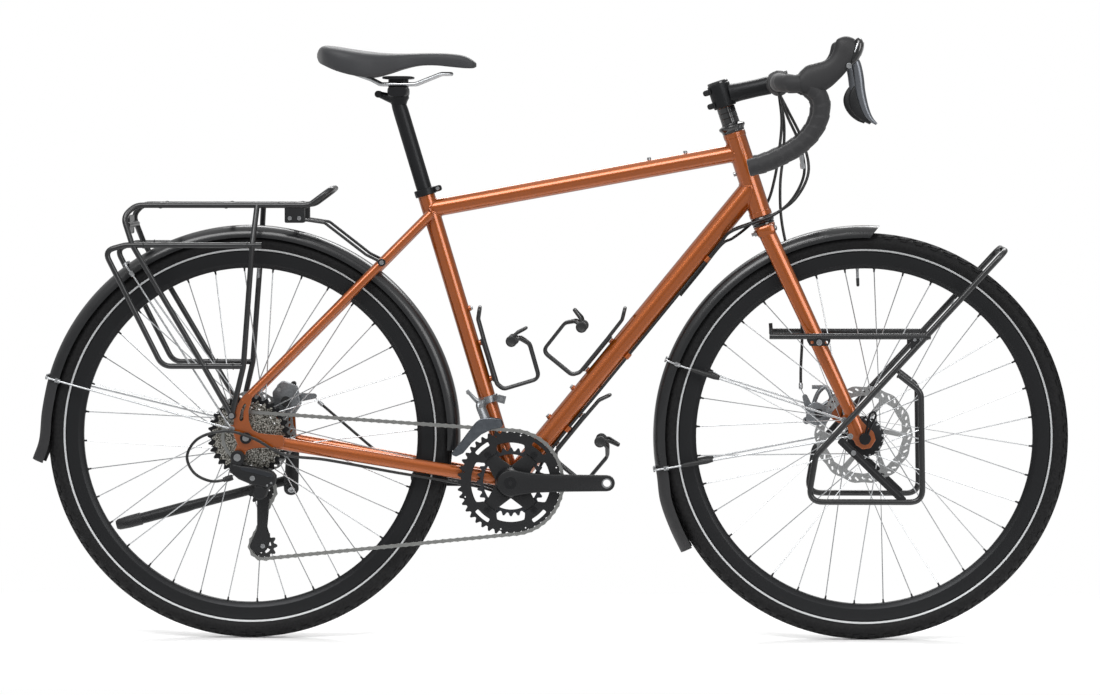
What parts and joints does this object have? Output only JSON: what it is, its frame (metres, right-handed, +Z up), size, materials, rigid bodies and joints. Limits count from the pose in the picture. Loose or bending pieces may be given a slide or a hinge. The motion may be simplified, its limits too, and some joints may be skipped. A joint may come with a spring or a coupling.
{
  "type": "touring bicycle",
  "caption": "Touring bicycle with a steel frame, drop handlebar, disc brakes, front and rear racks, mudguards, bottle cages and a folded stand.",
  "frame": {"origin": "on the ground under the middle of the whole bicycle", "axes": "+X forwards, +Y to the rider's left, +Z up"},
  "size_m": [1.7822, 0.472, 1.0308],
  "materials": {
    "copper_paint": "glossy metallic paint",
    "black_alloy": "satin black",
    "polished_alloy": "polished",
    "steel": "bright steel",
    "black_plastic": "semi-gloss black",
    "saddle_cover": "matt black cover",
    "bar_tape": "matt wound tape",
    "black_rubber": "matt rubber",
    "tyre_rubber": "matt black with a thin reflective ring"
  },
  "bodies": {
    "frame": {"main_frame": "copper_paint", "rear_frame": "copper_paint", "seat_clamp": "black_alloy", "headset_lower": "black_alloy", "rear_mudguard": "black_plastic", "rear_stays": "steel", "rear_rack": "black_alloy", "bottle_cage_seat_tube": "black_alloy", "bottle_cage_down_tube": "black_alloy", "bottle_cage_lower": "black_alloy", "stand_bracket": "black_alloy", "rear_calliper": "black_alloy", "rear_axle": "black_alloy", "front_derailleur": "polished_alloy", "rear_derailleur": "black_alloy", "chain": "steel", "rear_brake_cable": "black_rubber", "rear_shift_cable": "black_rubber", "front_shift_cable": "black_rubber"},
    "steering": {"fork": "copper_paint", "headset_upper": "black_alloy", "stem": "black_alloy", "handlebar": "bar_tape", "hood_right": "black_rubber", "hood_left": "black_rubber", "front_mudguard": "black_plastic", "front_stay_upper": "steel", "front_stay_lower": "steel", "front_rack": "black_alloy", "front_calliper": "black_alloy", "front_brake_cable": "black_rubber"},
    "front_wheel": {"front_tyre": "tyre_rubber", "front_rim": "black_alloy", "front_hub": "black_alloy", "front_rotor": "steel", "front_spokes_right": "steel", "front_spokes_left": "steel"},
    "rear_wheel": {"rear_tyre": "tyre_rubber", "rear_rim": "black_alloy", "rear_hub": "black_alloy", "rear_rotor": "steel", "rear_spokes_right": "steel", "rear_spokes_left": "steel"},
    "crankset": {"crank_right": "black_alloy", "crank_left": "black_alloy", "chainring_outer": "black_alloy", "chainring_inner": "steel"},
    "cassette": {"cassette": "steel"},
    "guide_pulley": {"guide_pulley": "black_plastic"},
    "tension_pulley": {"tension_pulley": "black_plastic"},
    "lever_right": {"lever_right": "black_alloy"},
    "lever_left": {"lever_left": "black_alloy"},
    "front_brake_arm": {"front_brake_arm": "black_alloy"},
    "rear_brake_arm": {"rear_brake_arm": "black_alloy"},
    "stand": {"stand_leg": "black_alloy"},
    "seat": {"seat_post": "black_alloy", "saddle_rails": "steel", "saddle": "saddle_cover"},
    "front_axle": {"front_axle": "black_alloy"}
  },
  "joints": [
    {"name": "steering_turn", "type": "hinge", "parent": "frame", "child": "steering", "pos_m": [0.3651, 0, 0.72598], "axis": [-0.3123, 0, 0.95], "range_deg": [-60, 60], "deforming": ["rear_brake_cable", "rear_shift_cable", "front_shift_cable"]},
    {"name": "front_wheel_spin", "type": "hinge", "parent": "steering", "child": "front_wheel", "pos_m": [0.5421, 0, 0.349], "axis": [0, 1, 0], "continuous": true},
    {"name": "rear_wheel_spin", "type": "hinge", "parent": "frame", "child": "rear_wheel", "pos_m": [-0.5129, 0, 0.349], "axis": [0, 1, 0], "continuous": true},
    {"name": "crank_spin", "type": "hinge", "parent": "frame", "child": "crankset", "pos_m": [-0.0624, 0, 0.272], "axis": [0, 1, 0], "continuous": true, "deforming": ["chain"]},
    {"name": "cassette_spin", "type": "hinge", "parent": "frame", "child": "cassette", "pos_m": [-0.5129, 0, 0.349], "axis": [0, 1, 0], "continuous": true},
    {"name": "guide_pulley_spin", "type": "hinge", "parent": "frame", "child": "guide_pulley", "pos_m": [-0.48878, -0.045, 0.25587], "axis": [0, 1, 0], "continuous": true},
    {"name": "tension_pulley_spin", "type": "hinge", "parent": "frame", "child": "tension_pulley", "pos_m": [-0.48709, -0.045, 0.162], "axis": [0, 1, 0], "continuous": true},
    {"name": "lever_right_pull", "type": "hinge", "parent": "steering", "child": "lever_right", "pos_m": [0.50974, -0.22, 0.98118], "axis": [0, 1, 0], "range_deg": [0, 18], "stiffness_Nm_per_rad": 1.5, "springref_deg": -20.05},
    {"name": "lever_left_pull", "type": "hinge", "parent": "steering", "child": "lever_left", "pos_m": [0.50974, 0.22, 0.98118], "axis": [0, 1, 0], "range_deg": [0, 18], "stiffness_Nm_per_rad": 1.5, "springref_deg": -20.05},
    {"name": "front_brake_pull", "type": "hinge", "parent": "steering", "child": "front_brake_arm", "pos_m": [0.45013, 0.052, 0.38904], "axis": [0, 1, 0], "range_deg": [0, 20]},
    {"name": "rear_brake_pull", "type": "hinge", "parent": "frame", "child": "rear_brake_arm", "pos_m": [-0.43393, 0.052, 0.41097], "axis": [0, 1, 0], "range_deg": [0, 20]},
    {"name": "stand_swing", "type": "hinge", "parent": "frame", "child": "stand", "pos_m": [-0.4497, 0.064, 0.2546], "axis": [0.118, -0.8882, -0.4441], "range_deg": [0, 100]},
    {"name": "seat_height", "type": "slide", "parent": "frame", "child": "seat", "axis": [-0.2874, 0, 0.9578], "range_m": [-0.11, 0]},
    {"name": "front_axle_turn", "type": "hinge", "parent": "steering", "child": "front_axle", "pos_m": [0.5421, 0, 0.349], "axis": [0, 1, 0], "range_deg": [-115, 90]}
  ],
  "couplings": [
    {"joint": "cassette_spin", "follows": "crank_spin", "ratio": 2.0915},
    {"joint": "guide_pulley_spin", "follows": "crank_spin", "ratio": -3.96},
    {"joint": "tension_pulley_spin", "follows": "crank_spin", "ratio": 3.96},
    {"joint": "front_brake_pull", "follows": "lever_left_pull", "ratio": 1},
    {"joint": "rear_brake_pull", "follows": "lever_right_pull", "ratio": 1}
  ]
}
